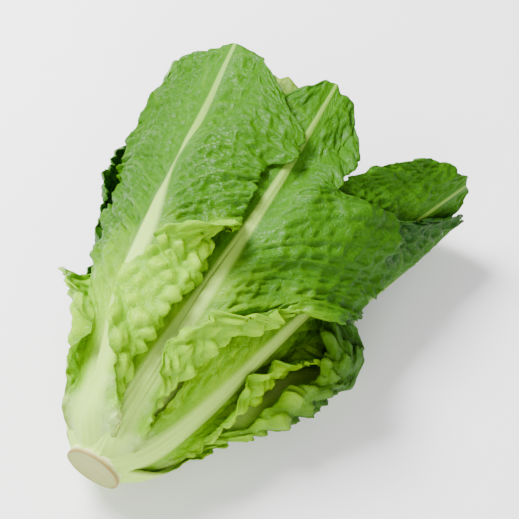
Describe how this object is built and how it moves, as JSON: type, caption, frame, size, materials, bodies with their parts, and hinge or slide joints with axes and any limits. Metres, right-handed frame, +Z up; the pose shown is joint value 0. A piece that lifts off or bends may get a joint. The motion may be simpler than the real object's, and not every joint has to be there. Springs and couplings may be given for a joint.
{
  "type": "romaine lettuce head",
  "caption": "Long loose-leaved lettuce head, cut flat at the stem and lying on its side, its broad ribbed leaves opening towards the tips.",
  "frame": {"origin": "centre of the bounding box, on the surface that the head lies on", "axes": "+X from the cut face along the head to the leaf tips, +Y to the head's left seen from the cut end, +Z up"},
  "size_m": [0.2776, 0.221, 0.1124],
  "materials": {
    "outer_leaf": "waxy mid-green leaf, blistered, with pale raised veins and a soft gloss; yellow-green towards the base",
    "middle_leaf": "waxy green leaf, paler than the outer leaves, with pale raised veins",
    "inner_leaf": "thin yellow-green heart leaf with a pale rib",
    "stem": "moist pale greenish-cream cut face with a thin brownish rim"
  },
  "bodies": {
    "root": {"stem": "stem", "inner_leaf_9": "inner_leaf", "inner_leaf_8": "inner_leaf", "inner_leaf_7": "inner_leaf", "inner_leaf_6": "inner_leaf", "inner_leaf_5": "inner_leaf", "inner_leaf_4": "inner_leaf", "inner_leaf_3": "inner_leaf", "inner_leaf_2": "inner_leaf", "inner_leaf_1": "inner_leaf", "middle_leaf_1": "middle_leaf", "middle_leaf_2": "middle_leaf", "middle_leaf_3": "middle_leaf", "middle_leaf_4": "middle_leaf", "middle_leaf_5": "middle_leaf", "middle_leaf_6": "middle_leaf", "middle_leaf_7": "middle_leaf", "right_leaf": "outer_leaf", "centre_leaf": "outer_leaf", "left_side_leaf": "outer_leaf", "left_leaf": "outer_leaf", "right_side_leaf": "outer_leaf", "lower_left_leaf": "outer_leaf", "under_leaf": "outer_leaf"}
  },
  "joints": []
}
